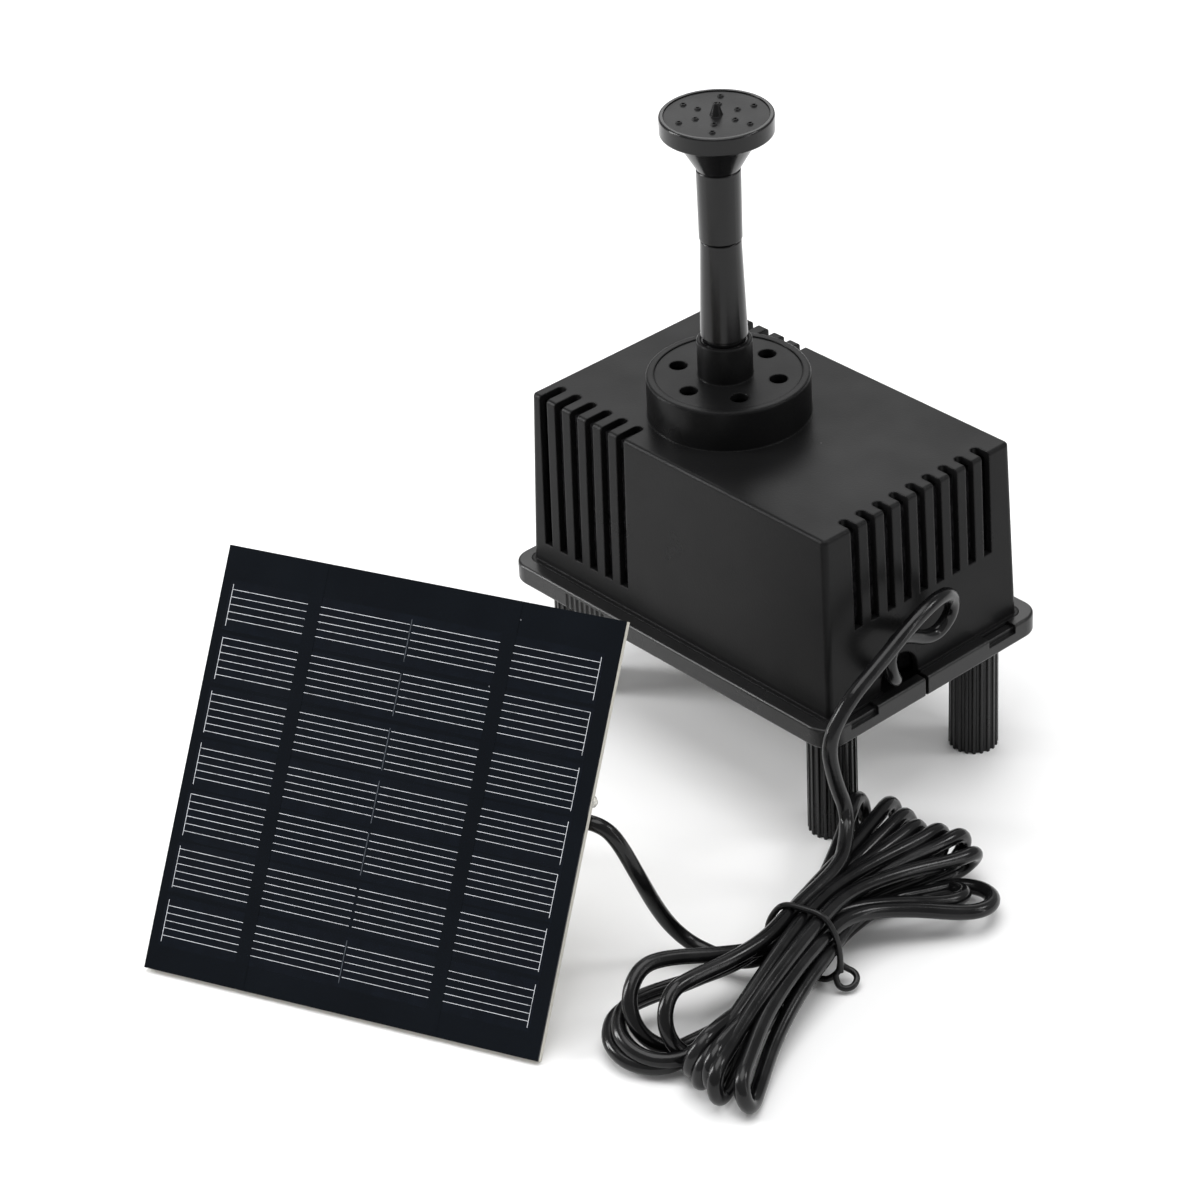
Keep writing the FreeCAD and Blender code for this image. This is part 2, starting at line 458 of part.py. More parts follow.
def prop():
    ears = box(HINGE_U - BRACKET_HALF, HINGE_U + BRACKET_HALF, HINGE_V - 6, HINGE_V + 6, -2.0, 0)
    for side in (-1, 1):
        u0 = HINGE_U + side * EAR_AT - EAR_T / 2
        ear = box(u0, u0 + EAR_T, HINGE_V - EAR_R, HINGE_V + EAR_R, HINGE_W, -1.0)
        ears = ears.fuse(ear.fuse(rod(EAR_R, at(u0, HINGE_V, HINGE_W), X, EAR_T)))
    ears = ears.cut(rod(PIN_R, at(HINGE_U - 30, HINGE_V, HINGE_W), X, 60))
    keep_on_panel("prop_bracket", ears)
    pin_end = EAR_AT + EAR_T / 2 + 1.0
    keep_on_panel("prop_pin", rod(PIN_R, at(HINGE_U - pin_end, HINGE_V, HINGE_W), X, 2 * pin_end))

    # the leg is drawn folded and turned about its pin until its tip stands on the floor
    tilt, lean = math.radians(PANEL_TILT), math.radians(LEG_LEAN)
    pin_height = HINGE_V * math.sin(tilt) + HINGE_W * math.cos(tilt)
    length = (pin_height - LEG_TIP_R) / math.cos(lean)
    half = LEG_W / 2
    leg = rod(KNUCKLE_R, at(HINGE_U - half, HINGE_V, HINGE_W), X, LEG_W)
    leg = leg.fuse(box(HINGE_U - half, HINGE_U + half, HINGE_V - length, HINGE_V,
                       HINGE_W - LEG_T / 2, HINGE_W + LEG_T / 2))
    leg = leg.fuse(rod(LEG_TIP_R, at(HINGE_U - half, HINGE_V - length, HINGE_W), X, LEG_W))
    leg = leg.cut(rod(PIN_R + SLIDE_GAP, at(HINGE_U - 30, HINGE_V, HINGE_W), X, 60))
    leg = leg.cut(box(HINGE_U - LEG_RIB, HINGE_U + LEG_RIB, HINGE_V - length + LEG_END,
                      HINGE_V - LEG_END, HINGE_W - LEG_T, HINGE_W - 0.3))
    leg.rotate(at(HINGE_U, HINGE_V, HINGE_W), X, 90.0 - PANEL_TILT + LEG_LEAN)
    keep_on_panel("prop_leg", leg)


# ---------------------------------------------------------------- cable
def tube_along(name, points, radius):
    """Round bar along straight runs joined by tangent arcs, each as large as its runs allow."""
    runs = [(b - a).Length for a, b in zip(points, points[1:])]
    edges, here = [], points[0]
    for i in range(1, len(points) - 1):
        back = (points[i - 1] - points[i]).normalize()
        ahead = (points[i + 1] - points[i]).normalize()
        half_turn = (math.pi - back.getAngle(ahead)) / 2
        reach = 0.45 * min(runs[i - 1], runs[i])
        radius_here = reach / math.tan(half_turn)
        start, end = points[i] + back * reach, points[i] + ahead * reach
        inward = (back + ahead).normalize()
        middle = points[i] + inward * (radius_here / math.cos(half_turn) - radius_here)
        edges.append(Part.LineSegment(here, start).toShape())
        edges.append(Part.Arc(start, middle, end).toShape())
        here = end
    edges.append(Part.LineSegment(here, points[-1]).toShape())
    path = Part.Wire(edges)
    profile = Part.Wire([Part.makeCircle(radius, points[0], points[1] - points[0])])
    keep(name, path.makePipeShell([profile], True, False))


PUMP_LEAD = [
    (45.0, -10.6, 47.4), (52.5, -11.2, 47.6), (59.4, -12.6, 47.6), (64.6, -14.8, 49.0),
    (65.9, -17.6, 53.6), (65.9, -19.2, 59.4), (65.0, -15.4, 62.6), (64.2, -9.6, 59.8),
    (63.9, -4.0, 56.2), (64.1, 1.2, 55.8), (65.0, 5.4, 60.6), (66.6, 4.0, 67.6),
    (69.2, -3.4, 72.2), (70.6, -15.0, 70.2), (70.6, -28.5, 62.9), (70.6, -40.5, 56.8),
    (70.6, -48.6, 47.6), (71.3, -46.6, 34.0), (72.8, -43.6, 23.5), (78.2, -49.6, 19.5),
    (84.6, -58.6, 19.0)]
PANEL_LEAD = [
    (44.2, -120.8, 48.5), (49.6, -118.2, 48.5), (55.4, -115.2, 47.9), (58.8, -113.0, 43.5),
    (62.0, -109.2, 31.0), (62.8, -104.0, 18.5), (64.2, -97.5, 9.5), (68.5, -89.0, 5.0),
    (75.0, -82.5, 5.0)]

# outline of the tied hank: place along Y, left and right side, underside and top
HANK = [
    (-139.0, 86, 124, 1.0, 10.0), (-129.0, 72, 129, 0.0, 15.0), (-108.0, 65, 119, 0.0, 17.0),
    (-90.0, 73, 107, 0.6, 17.5), (TIE_Y, 77, 100, 1.6, 18.0), (-60.0, 71, 103, 0.6, 18.0),
    (-40.0, 64, 111, 0.0, 18.0), (-28.0, 61, 110, 0.0, 16.5), (-17.0, 70, 98, 1.0, 11.0)]


def upright_section(y, x0, x1, z0, z1, r):
    """Rounded rectangle standing across the Y axis."""
    flat = round_rect((x1 - x0) / 2, (z1 - z0) / 2, r, 0.0)
    flat.rotate(at(0, 0, 0), X, 90)
    flat.translate(at((x0 + x1) / 2, y, (z0 + z1) / 2))
    return flat


def cable():
    tube_along("cable_pump_run", [at(*p) for p in PUMP_LEAD], CABLE_R)
    tube_along("cable_panel_run", [at(*p) for p in PANEL_LEAD], CABLE_R)
    sections = [upright_section(y, x0, x1, z0, z1, 4.0) for y, x0, x1, z0, z1 in HANK]
    keep("cable_hank", Part.makeLoft(sections, True, True))

    # tie: a band round the waist of the hank, with the curl of its twisted ends
    _, x0, x1, z0, z1 = next(section for section in HANK if section[0] == TIE_Y)
    wire = 2 * TIE_R
    outer = upright_section(TIE_Y - TIE_R, x0 - wire, x1 + wire, z0 - wire, z1 + wire, 5.0)
    inner = upright_section(TIE_Y - TIE_R, x0, x1, z0, z1, 4.0)
    tie = Part.Face(outer).extrude(Y * wire).cut(Part.Face(inner).extrude(Y * wire))
    curl = Part.makeTorus(3.4, TIE_R, at(x1 + wire + 3.2, TIE_Y, 4.4), Vector(0.3, 1, 0.2))
    keep("hank_tie", tie.fuse(curl))


# ---------------------------------------------------------------- build and export
base_tray()
feet()
housing_cover()
flow_plate()
foam()
riser()
spray_head()
motor()
gland()
rotor()
volute()
suction_cups()
solar_panel()
prop()
cable()

os.makedirs("parts", exist_ok=True)
for node, solid in PARTS.items():
    solid.exportStep("parts/%s.step" % node)

print("%d nodes" % len(PARTS))
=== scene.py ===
import json
import math

import bmesh
import bpy
from mathutils import Matrix, Vector, noise


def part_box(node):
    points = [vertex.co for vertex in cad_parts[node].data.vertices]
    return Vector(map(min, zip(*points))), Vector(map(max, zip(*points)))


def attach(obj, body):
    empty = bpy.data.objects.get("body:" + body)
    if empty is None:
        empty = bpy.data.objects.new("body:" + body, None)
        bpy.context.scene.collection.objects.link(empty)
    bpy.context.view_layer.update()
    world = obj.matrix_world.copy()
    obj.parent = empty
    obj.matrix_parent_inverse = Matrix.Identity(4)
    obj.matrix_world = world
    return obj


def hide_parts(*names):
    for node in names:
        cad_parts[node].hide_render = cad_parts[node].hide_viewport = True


# Solar fountain kit: filter-box pump with riser and spray head, solar panel on a prop, and the cable
# between them with its tied hank. All lengths are in metres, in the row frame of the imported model.

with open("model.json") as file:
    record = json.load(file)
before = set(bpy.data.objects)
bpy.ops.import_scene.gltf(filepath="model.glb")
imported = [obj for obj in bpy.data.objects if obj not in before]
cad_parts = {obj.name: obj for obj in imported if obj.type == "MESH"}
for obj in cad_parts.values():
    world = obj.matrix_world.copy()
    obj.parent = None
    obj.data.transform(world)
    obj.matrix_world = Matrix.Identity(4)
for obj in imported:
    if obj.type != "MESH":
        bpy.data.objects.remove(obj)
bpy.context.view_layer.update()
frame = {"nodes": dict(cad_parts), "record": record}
NODES = frame["nodes"]

# ---------------------------------------------------------------- places read from the frame
tray_low, tray_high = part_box("base_tray")
PUMP = Vector(((tray_low.x + tray_high.x) / 2, (tray_low.y + tray_high.y) / 2, 0.0))


def panel_axes():
    """Placement of the panel: x to the right, y up its face, z out of its face, from the board's corner."""
    mesh = NODES["panel_board"].data
    out = max((p for p in mesh.polygons if p.normal.z > 0), key=lambda p: p.area).normal.copy()
    right = Vector((0, 0, 1)).cross(out).normalized()
    axes = (right, out.cross(right), out)
    corner = sum((axis * min(v.co.dot(axis) for v in mesh.vertices) for axis in axes), Vector())
    return Matrix.Translation(corner) @ Matrix(axes).transposed().to_4x4()


PANEL = panel_axes()
PANEL_SIDE = 0.115
FACE_HEIGHT = max((PANEL.inverted() @ v.co).z for v in NODES["panel_face"].data.vertices)


# ---------------------------------------------------------------- camera, stage and light
def camera():
    eye = PUMP + Vector((0.66685, -0.63451, 0.63798))
    yaw, pitch, roll = (math.radians(a) for a in (49.462, 32.991, -3.314))
    ahead = Vector((-math.sin(yaw) * math.cos(pitch), math.cos(yaw) * math.cos(pitch), -math.sin(pitch)))
    level = Vector((math.cos(yaw), math.sin(yaw), 0))
    over = level.cross(ahead)
    right = level * math.cos(roll) + over * math.sin(roll)
    up = over * math.cos(roll) - level * math.sin(roll)
    data = bpy.data.cameras.new("camera")
    data.lens, data.sensor_width = 115.794, 36.0
    data.clip_start, data.clip_end = 0.05, 50.0
    view = bpy.data.objects.new("camera", data)
    view.matrix_world = Matrix.Translation(eye) @ Matrix((right, up, -ahead)).transposed().to_4x4()
    bpy.context.scene.collection.objects.link(view)
    bpy.context.scene.camera = view


def floor():
    half = 9.0
    corners = [(-half, -half, 0), (half, -half, 0), (half, half, 0), (-half, half, 0)]
    mesh = bpy.data.meshes.new("floor")
    mesh.from_pydata(corners, [], [(0, 1, 2, 3)])
    plane = bpy.data.objects.new("floor", mesh)
    bpy.context.scene.collection.objects.link(plane)
    paper = bpy.data.materials.new("floor_paper")
    paper.use_nodes = True
    shader = paper.node_tree.nodes["Principled BSDF"]
    shader.inputs["Base Color"].default_value = (0.92, 0.92, 0.92, 1)
    shader.inputs["Roughness"].default_value = 0.9
    shader.inputs["Specular IOR Level"].default_value = 0.1
    mesh.materials.append(paper)


# softboxes: name, place, width, height, power in watts
SOFTBOXES = [
    ("overhead", (0, 0, 2.2), 1.8, 1.8, 34), ("key", (-1.3, -1.1, 1.15), 0.6, 0.6, 18),
    ("low", (-1.0, -0.75, 0.32), 0.2, 0.5, 6), ("back", (-1.1, 1.15, 1.25), 1.3, 0.9, 8),
    ("side", (1.3, 0.5, 0.5), 0.1, 1.0, 2), ("edge", (0.9, 0.92, 1.2), 0.4, 0.4, 5)]
LIT_POINT = Vector((0, 0, 0.08))
SKY_STRENGTH = 0.42


def softbox(name, place, width, height, power):
    data = bpy.data.lights.new(name, "AREA")
    data.shape = "RECTANGLE"
    data.size, data.size_y, data.energy = width, height, power
    light = bpy.data.objects.new(name, data)
    light.location = Vector(place)
    light.rotation_euler = (LIT_POINT - Vector(place)).to_track_quat("-Z", "Y").to_euler()
    bpy.context.scene.collection.objects.link(light)


def studio():
    world = bpy.data.worlds.new("studio")
    bpy.context.scene.world = world
    world.use_nodes = True
    sky = world.node_tree.nodes["Background"]
    sky.inputs["Color"].default_value = (1, 1, 1, 1)
    sky.inputs["Strength"].default_value = SKY_STRENGTH
    for box in SOFTBOXES:
        softbox(*box)
    view = bpy.context.scene.view_settings
    view.view_transform = "Standard"
    view.look = "None"
    view.exposure = 0.0


# ---------------------------------------------------------------- the cable and its hank
CABLE_DIAMETER = 0.0042
TIE_DIAMETER = 0.0017
SPLINE_STEPS, SECTION_STEPS = 6, 5

# control points where the cable isn't wound, measured from the pump's middle on the floor
PUMP_LEAD = [
    (0.0450, -0.0106, 0.0474), (0.0525, -0.0112, 0.0472), (0.0594, -0.0127, 0.0470),
    (0.0648, -0.0162, 0.0486), (0.0663, -0.0198, 0.0534), (0.0662, -0.0208, 0.0594),
    (0.0650, -0.0154, 0.0626), (0.0642, -0.0096, 0.0598), (0.0639, -0.0040, 0.0562),
    (0.0641, 0.0012, 0.0558), (0.0650, 0.0054, 0.0606), (0.0666, 0.0040, 0.0676),
    (0.0692, -0.0034, 0.0722), (0.0706, -0.0150, 0.0702), (0.0706, -0.0285, 0.0629),
    (0.0706, -0.0405, 0.0568), (0.0706, -0.0486, 0.0476), (0.0713, -0.0466, 0.0340),
    (0.0728, -0.0436, 0.0235), (0.0782, -0.0496, 0.0195), (0.0846, -0.0586, 0.0190)]
PANEL_LEAD = [
    (0.0442, -0.1208, 0.0485), (0.0496, -0.1182, 0.0485), (0.0554, -0.1152, 0.0479),
    (0.0588, -0.1130, 0.0435), (0.0620, -0.1092, 0.0310), (0.0626, -0.1050, 0.0205),
    (0.0638, -0.1010, 0.0120), (0.0674, -0.0974, 0.0062), (0.0745, -0.0953, 0.0050),
    (0.0815, -0.0940, 0.0056), (0.0861, -0.0893, 0.0066)]

# the waist of the hank, where the tie holds its strands in a round bundle
WAIST = Vector((0.0925, -0.0805, 0.0100))
WAIST_AXIS = Vector((-0.33, 0.94, 0.0)).normalized()
WAIST_ACROSS = WAIST_AXIS.cross(Vector((0, 0, 1)))
HALF_PITCH, ROW_PITCH, LOWEST_ROW = 0.00209, 0.0036, 0.0038

# order in which the winding passes through the round bundle there: half pitches across, and row
STRANDS = [
    (-3, 1), (-2, 0), (-3, 3), (-4, 2), (-2, 2), (-1, 1), (-1, 3), (1, 1), (0, 0), (0, 4),
    (0, 2), (2, 2), (2, 0), (2, 4), (1, 3), (4, 2), (3, 3), (3, 1), (-2, 4)]

# turns of the hank: tip of the turn, half of its opening, roll of the opening (90 is upright)
RIGHT_TURNS = [
    ((0.0614, -0.0262, 0.0100), 0.0056, 80), ((0.0702, -0.0225, 0.0105), 0.0060, 84),
    ((0.0769, -0.0236, 0.0105), 0.0060, 86), ((0.0823, -0.0250, 0.0103), 0.0060, 92),
    ((0.0872, -0.0215, 0.0096), 0.0058, 94), ((0.0915, -0.0181, 0.0086), 0.0054, 100),
    ((0.0965, -0.0195, 0.0072), 0.0050, 120), ((0.1010, -0.0300, 0.0046), 0.0064, 160),
    ((0.1072, -0.0255, 0.0046), 0.0084, 170)]
LEFT_TURNS = [
    ((0.0855, -0.1400, 0.0042), 0.0115, 172), ((0.0880, -0.1386, 0.0074), 0.0112, 168),
    ((0.0845, -0.1335, 0.0114), 0.0115, 128), ((0.1062, -0.1338, 0.0096), 0.0056, 72),
    ((0.1094, -0.1340, 0.0074), 0.0052, 80), ((0.1128, -0.1336, 0.0092), 0.0052, 88),
    ((0.1164, -0.1352, 0.0076), 0.0052, 94), ((0.1235, -0.1320, 0.0070), 0.0048, 104),
    ((0.0950, -0.1310, 0.0108), 0.0095, 118)]
LEG_SHARES = (0.3, 0.62, 0.92)
BEND_ANGLES = (67.5, 22.5, -22.5, -67.5)


def eased(share):
    return share * share * (3 - 2 * share)


def waist_slot(across, row):
    slot = WAIST + WAIST_ACROSS * across * HALF_PITCH
    return Vector((slot.x, slot.y, LOWEST_ROW + row * ROW_PITCH))


def turn(tip, half, roll, leaves, enters):
    """Control points of one turn: out of the waist, round the tip and back into the next slot.

    It leaves along the axis of the waist and bends towards its tip, and the higher of its two strands takes
    the side that the roll points to."""
    reach = (Vector(tip) - WAIST).length
    along = (Vector(tip) - WAIST) / reach
    level = Vector((0, 0, 1)).cross(along).normalized()
    side = level * math.cos(math.radians(roll)) + along.cross(level) * math.sin(math.radians(roll))
    if leaves.z < enters.z:
        side = -side
    axis = WAIST_AXIS if along.dot(WAIST_AXIS) > 0 else -WAIST_AXIS

    def leg(share, slot, sign):
        spread = eased(share)
        heading = (axis * (1 - spread) + along * spread).normalized()
        middle = WAIST + heading * (reach - half) * share
        return middle + (slot - WAIST) * (1 - spread) + side * sign * half * spread

    bend_radius = half / math.cos(math.radians(BEND_ANGLES[1]))
    points = [leg(share, leaves, 1) for share in LEG_SHARES]
    for angle in BEND_ANGLES:
        a = math.radians(angle)
        forward, sideways = reach - half + bend_radius * math.cos(a), bend_radius * math.sin(a)
        points.append(WAIST + along * forward + side * sideways)
    return points + [leg(share, enters, -1) for share in reversed(LEG_SHARES)]


def wound_points():
    """Control points of the whole hank, from the panel's lead to the pump's."""
    slots = [waist_slot(*strand) for strand in STRANDS]
    points = []
    for i, (right, left) in enumerate(zip(RIGHT_TURNS, LEFT_TURNS)):
        first, second, third = slots[2 * i:2 * i + 3]
        points += [first] + turn(*right, first, second) + [second] + turn(*left, second, third)
    return points + [slots[-1]]


def nurbs(name, points, radius, material):
    """Smooth round cord: a curve of one open spline with a round section."""
    data = bpy.data.curves.new(name, "CURVE")
    data.dimensions = "3D"
    data.bevel_depth, data.bevel_resolution, data.use_fill_caps = radius, SECTION_STEPS, True
    spline = data.splines.new("NURBS")
    spline.points.add(len(points) - 1)
    for target, point in zip(spline.points, points):
        target.co = (*point, 1.0)
    spline.order_u = 3
    spline.use_endpoint_u = True
    spline.resolution_u = SPLINE_STEPS
    data.materials.append(material)
    curve = bpy.data.objects.new(name, data)
    bpy.context.scene.collection.objects.link(curve)
    return curve


def tie_wire(material):
    """Coated wire round the waist of the hank; its two ends are twisted and one is curled in a ring."""
    side, top, bottom, middle = 0.0105, 0.0209, 0.0010, 0.0110
    around = [
        (side + 0.0008, -0.0010, 0.0052), (side + 0.0006, -0.0004, 0.0074), (side, 0.0004, middle),
        (side * 0.90, 0.0006, 0.0156), (side * 0.58, 0.0008, top), (0.0, 0.0010, top + 0.0002),
        (-side * 0.58, 0.0009, top), (-side * 0.90, 0.0006, 0.0156), (-side, 0.0, middle),
        (-side * 0.90, -0.0004, 0.0060), (-side * 0.58, -0.0006, bottom), (0.0, -0.0008, bottom),
        (side * 0.60, -0.0010, bottom), (side * 0.84, -0.0016, 0.0028)]
    ring = [
        (side + 0.0006, -0.0012, 0.0056), (side + 0.0002, 0.0002, 0.0072), (side - 0.0004, 0.0016, 0.0058),
        (side + 0.0006, 0.0026, 0.0040), (side + 0.0030, 0.0028, 0.0034), (side + 0.0047, 0.0014, 0.0028),
        (side + 0.0047, -0.0012, 0.0018), (side + 0.0028, -0.0030, 0.0016), (side + 0.0006, -0.0030, 0.0026),
        (side - 0.0002, -0.0018, 0.0046)]
    centre = Vector((WAIST.x, WAIST.y, 0)) + PUMP
    place = Matrix.Translation(centre) @ Matrix((WAIST_ACROSS, WAIST_AXIS, (0, 0, 1))).transposed().to_4x4()
    wire = nurbs("tie_wire", [place @ Vector(p) for p in around + ring], TIE_DIAMETER / 2, material)
    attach(wire, "root")
    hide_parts("hank_tie")
    return wire


def cable(sheath, tie_sheath):
    tie = tie_wire(tie_sheath)
    route = PUMP_LEAD + [tuple(p) for p in reversed(wound_points())] + PANEL_LEAD[::-1]
    curve = nurbs("cable", [PUMP + Vector(p) for p in route], CABLE_DIAMETER / 2, sheath)
    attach(curve, "root")
    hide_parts("cable_pump_run", "cable_hank", "cable_panel_run")


# ---------------------------------------------------------------- materials
def scaled(colour, by):
    return tuple(c * by for c in colour)


class Surface:
    """A node material built up in layers on one Principled shader."""

    def __init__(self, name, colour, roughness, specular=0.5, metallic=0.0):
        self.material = bpy.data.materials.new(name)
        self.material.use_nodes = True
        self.tree = self.material.node_tree
        self.shader = self.tree.nodes["Principled BSDF"]
        self.colour, self.roughness = colour, roughness
        self.set("Base Color", (*colour, 1))
        self.set("Roughness", roughness)
        self.set("Specular IOR Level", specular)
        self.set("Metallic", metallic)
        self.place = self.node("ShaderNodeTexCoord").outputs["Object"]
        self.normal = None
        self.base = None

    def node(self, kind, **inputs):
        made = self.tree.nodes.new(kind)
        for key, value in inputs.items():
            made.inputs[key.replace("_", " ")].default_value = value
        return made

    def link(self, source, target):
        self.tree.links.new(source, target)

    def set(self, socket, value):
        self.shader.inputs[socket].default_value = value

    def noise(self, size, detail=2.0, stretch=None):
        """Cloudy noise whose features are about size metres."""
        texture = self.node("ShaderNodeTexNoise", Scale=1.0 / size, Detail=detail)
        if stretch:
            mapping = self.node("ShaderNodeMapping", Scale=stretch)
            self.link(self.place, mapping.inputs["Vector"])
            self.link(mapping.outputs["Vector"], texture.inputs["Vector"])
        else:
            self.link(self.place, texture.inputs["Vector"])
        return texture.outputs["Fac"]

    def ranged(self, source, low, high, to_low, to_high):
        fit = self.node("ShaderNodeMapRange", From_Min=low, From_Max=high, To_Min=to_low, To_Max=to_high)
        self.link(source, fit.inputs["Value"])
        return fit.outputs["Result"]

    def tint(self, factor, colour):
        """Mix the base colour towards another by a factor between 0 and 1."""
        mix = self.node("ShaderNodeMix")
        mix.data_type = "RGBA"
        from_colour, to_colour = mix.inputs[6], mix.inputs[7]  # the node's two colour sockets
        if self.base is None:
            from_colour.default_value = (*self.colour, 1)
        else:
            self.link(self.base, from_colour)
        to_colour.default_value = (*colour, 1)
        self.link(factor, mix.inputs["Factor"])
        self.base = mix.outputs[2]
        return self

    def mottle(self, size, detail, low, high, colour, most=1):
        """Clouds of another colour, of about size metres, growing as the noise goes from low to high."""
        return self.tint(self.ranged(self.noise(size, detail), low, high, 0, most), colour)

    def vary_roughness(self, size, amount):
        smoother, rougher = self.roughness - amount, self.roughness + amount
        varied = self.ranged(self.noise(size, 3.0), 0.3, 0.7, smoother, rougher)
        self.link(varied, self.shader.inputs["Roughness"])
        return self

    def bump(self, height, depth, strength=1.0):
        made = self.node("ShaderNodeBump", Strength=strength, Distance=depth)
        self.link(height, made.inputs["Height"])
        if self.normal is not None:
            self.link(self.normal, made.inputs["Normal"])
        self.normal = made.outputs["Normal"]
        return self

    def soft_edges(self, radius):
        """Rounds the shading of sharp edges, so that they catch the light."""
        bevel = self.node("ShaderNodeBevel", Radius=radius)
        bevel.samples = 4
        self.normal = bevel.outputs["Normal"]
        return self

    def dust(self, spacing, size, amount, colour=(0.35, 0.35, 0.36)):
        """Sparse specks: only some cells of a grid hold one."""
        cells = self.node("ShaderNodeTexVoronoi", Scale=1.0 / spacing)
        self.link(self.place, cells.inputs["Vector"])
        near = self.ranged(cells.outputs["Distance"], size / spacing * 0.6, size / spacing, 1.0, 0.0)
        split = self.node("ShaderNodeSeparateColor")
        self.link(cells.outputs["Color"], split.inputs["Color"])
        chosen = self.ranged(split.outputs["Red"], 1 - amount, 1 - amount + 0.01, 0.0, 0.8)
        both = self.node("ShaderNodeMath")
        both.operation = "MULTIPLY"
        self.link(near, both.inputs[0])
        self.link(chosen, both.inputs[1])
        return self.tint(both.outputs[0], colour)

    def done(self):
        if self.base is not None:
            self.link(self.base, self.shader.inputs["Base Color"])
        if self.normal is not None:
            self.link(self.normal, self.shader.inputs["Normal"])
        return self.material


def moulded(name, colour, roughness, specular, grain_depth=0.00002, edges=0.0004, dusty=0.02):
    """Injection-moulded plastic: fine spark grain, cloudy gloss, soft edges and a little dust."""
    surface = Surface(name, colour, roughness, specular)
    surface.mottle(0.03, 2.0, 0.35, 0.7, scaled(colour, 1.45))
    if dusty:
        surface.dust(0.0045, 0.00022, dusty)
    surface.vary_roughness(0.02, 0.05)
    surface.soft_edges(edges)
    surface.bump(surface.noise(0.0006, 1.0), grain_depth)
    return surface.done()


def cable_sheath():
    surface = Surface("cable_sheath", (0.0035, 0.0035, 0.0038), 0.2, 0.28)
    surface.mottle(0.012, 4.0, 0.45, 0.75, (0.009, 0.009, 0.0095))
    surface.dust(0.006, 0.00025, 0.05)
    surface.vary_roughness(0.006, 0.07)
    surface.bump(surface.noise(0.0009, 2.0), 0.00002)
    return surface.done()


def foam_material():
    surface = Surface("filter_foam", (0.012, 0.012, 0.013), 0.95, 0.1)
    surface.mottle(0.0015, 3.0, 0.4, 0.7, (0.03, 0.03, 0.032))
    surface.bump(surface.noise(0.0007, 4.0), 0.0004)
    return surface.done()


def rubber(name, colour, roughness=0.62):
    surface = Surface(name, colour, roughness, 0.3)
    surface.mottle(0.004, 4.0, 0.4, 0.7, scaled(colour, 1.8))
    surface.vary_roughness(0.003, 0.08)
    surface.bump(surface.noise(0.0005, 3.0), 0.00003)
    return surface.done()


def metal(name, colour, roughness, stretch):
    """Drawn or rolled metal, with fine lines along one axis."""
    surface = Surface(name, colour, roughness, metallic=1.0)
    lines = surface.noise(0.0008, 3.0, stretch)
    surface.tint(surface.ranged(lines, 0.35, 0.7, 0, 1), scaled(colour, 0.7))
    surface.vary_roughness(0.004, 0.08)
    surface.bump(lines, 0.00002)
    return surface.done()


def winding():
    surface = Surface("coil_copper", (0.55, 0.17, 0.06), 0.3, metallic=1.0)
    turns = surface.node("ShaderNodeTexWave", Scale=900.0, Distortion=1.2)
    surface.link(surface.place, turns.inputs["Vector"])
    surface.tint(surface.ranged(turns.outputs["Fac"], 0.2, 0.8, 0, 1), (0.3, 0.08, 0.03))
    surface.bump(turns.outputs["Fac"], 0.00015)
    return surface.done()


def circuit_board():
    surface = Surface("circuit_board", (0.008, 0.085, 0.03), 0.35)
    tracks = surface.node("ShaderNodeTexVoronoi", Scale=420.0)
    tracks.distance = "CHEBYCHEV"
    surface.link(surface.place, tracks.inputs["Vector"])
    surface.tint(surface.ranged(tracks.outputs["Distance"], 0.28, 0.34, 0, 1), (0.012, 0.14, 0.05))
    surface.bump(tracks.outputs["Distance"], 0.00005)
    return surface.done()


def ceramic():
    surface = Surface("ceramic", (0.82, 0.81, 0.76), 0.12)
    surface.mottle(0.002, 5.0, 0.55, 0.75, (0.7, 0.68, 0.62))
    surface.vary_roughness(0.002, 0.03)
    return surface.done()


def fibre_board():
    surface = Surface("panel_board", (0.6, 0.58, 0.52), 0.55, 0.4)
    weave = surface.node("ShaderNodeTexWave", Scale=900.0, Distortion=2.0)
    surface.link(surface.place, weave.inputs["Vector"])
    surface.tint(surface.ranged(weave.outputs["Fac"], 0.3, 0.7, 0, 0.5), (0.55, 0.52, 0.45))
    surface.mottle(0.025, 3.0, 0.35, 0.8, (0.68, 0.665, 0.61), most=0.5)
    surface.bump(weave.outputs["Fac"], 0.00004)
    return surface.done()


def glazed(name, colour, lighter, roughness, grain):
    """A layer of the panel under its clear resin coat."""
    surface = Surface(name, colour, roughness, 0.14)
    surface.set("Coat Weight", 0.12)
    surface.set("Coat Roughness", 0.08)
    surface.mottle(grain, 5.0, 0.4, 0.75, lighter)
    surface.dust(0.007, 0.00022, 0.05, (0.25, 0.26, 0.28))
    surface.vary_roughness(0.015, 0.04)
    surface.bump(surface.noise(0.01, 2.0), 0.00004)
    return surface.done()


def silver_ink(name, colour):
    """Printed conductor, worn thin in patches."""
    surface = Surface(name, colour, 0.42, 0.4, metallic=0.35)
    surface.mottle(0.0018, 4.0, 0.5, 0.72, scaled(colour, 0.5))
    surface.vary_roughness(0.002, 0.1)
    return surface.done()


def hot_glue():
    surface = Surface("hot_glue", (0.86, 0.85, 0.8), 0.22)
    surface.set("Transmission Weight", 0.55)
    surface.set("Subsurface Weight", 0.3)
    surface.set("Subsurface Radius", (0.002, 0.002, 0.002))
    surface.mottle(0.0012, 4.0, 0.5, 0.75, (0.95, 0.95, 0.93))
    surface.bump(surface.noise(0.0014, 2.0), 0.0002)
    return surface.done()


